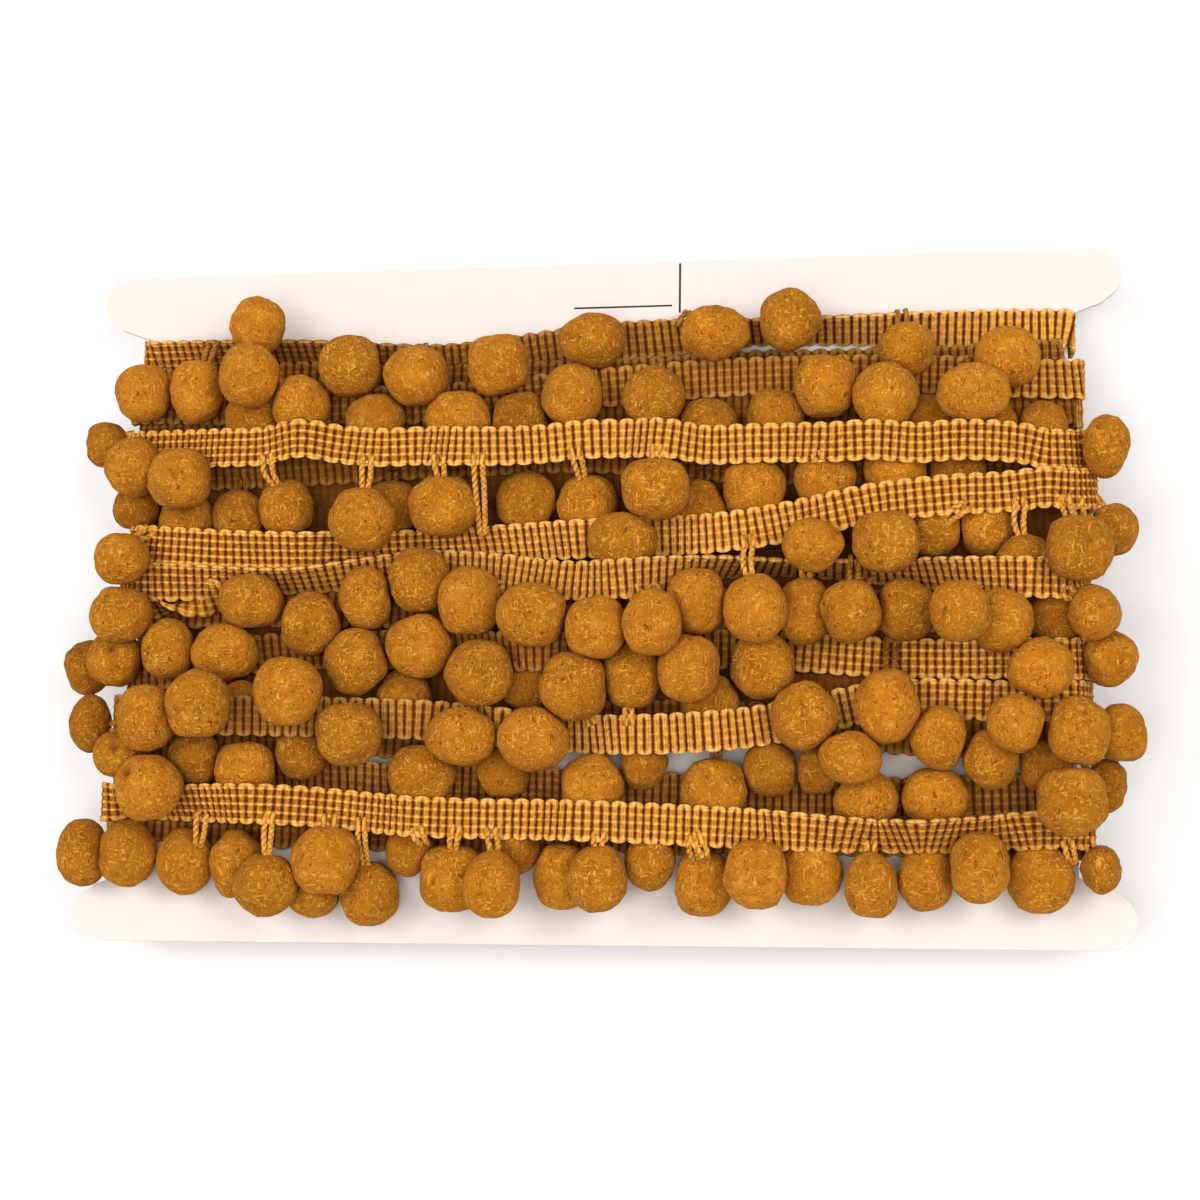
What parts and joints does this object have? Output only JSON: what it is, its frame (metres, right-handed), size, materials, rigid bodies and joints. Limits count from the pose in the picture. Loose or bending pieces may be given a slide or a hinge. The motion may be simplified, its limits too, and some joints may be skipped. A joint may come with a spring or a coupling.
{
  "type": "pompom fringe trim",
  "caption": "Ochre braid heading with small felted pompoms hung on twisted loops, wound in full turns round a flat white card with flanged corners.",
  "frame": {"origin": "centre of the part's outline at the table, under the flattened pompoms of the back", "axes": "+X along the card's length, +Y up the card to its upper flange, +Z out of the card's front face"},
  "size_m": [0.2339, 0.151, 0.0521],
  "materials": {
    "card_board": "smooth white paperboard with a faint tooth",
    "ochre_yarn": "matte wool-like yarn, braided, twisted or felted into balls"
  },
  "bodies": {
    "root": {"card": "card_board", "inner_turns_front": "ochre_yarn", "inner_turns_back": "ochre_yarn", "front_course_01": "ochre_yarn", "front_course_02": "ochre_yarn", "front_course_03": "ochre_yarn", "front_course_04": "ochre_yarn", "front_course_05": "ochre_yarn", "front_course_06": "ochre_yarn", "front_course_07": "ochre_yarn", "front_course_08": "ochre_yarn", "front_course_09": "ochre_yarn", "front_course_10": "ochre_yarn", "front_course_11": "ochre_yarn", "front_course_12": "ochre_yarn", "front_course_13": "ochre_yarn", "front_course_14": "ochre_yarn", "back_course_01": "ochre_yarn", "back_course_02": "ochre_yarn", "back_course_03": "ochre_yarn", "back_course_04": "ochre_yarn", "back_course_05": "ochre_yarn", "back_course_06": "ochre_yarn", "back_course_07": "ochre_yarn", "back_course_08": "ochre_yarn", "back_course_09": "ochre_yarn", "back_course_10": "ochre_yarn", "back_course_11": "ochre_yarn", "back_course_12": "ochre_yarn", "back_course_13": "ochre_yarn"}
  },
  "joints": []
}
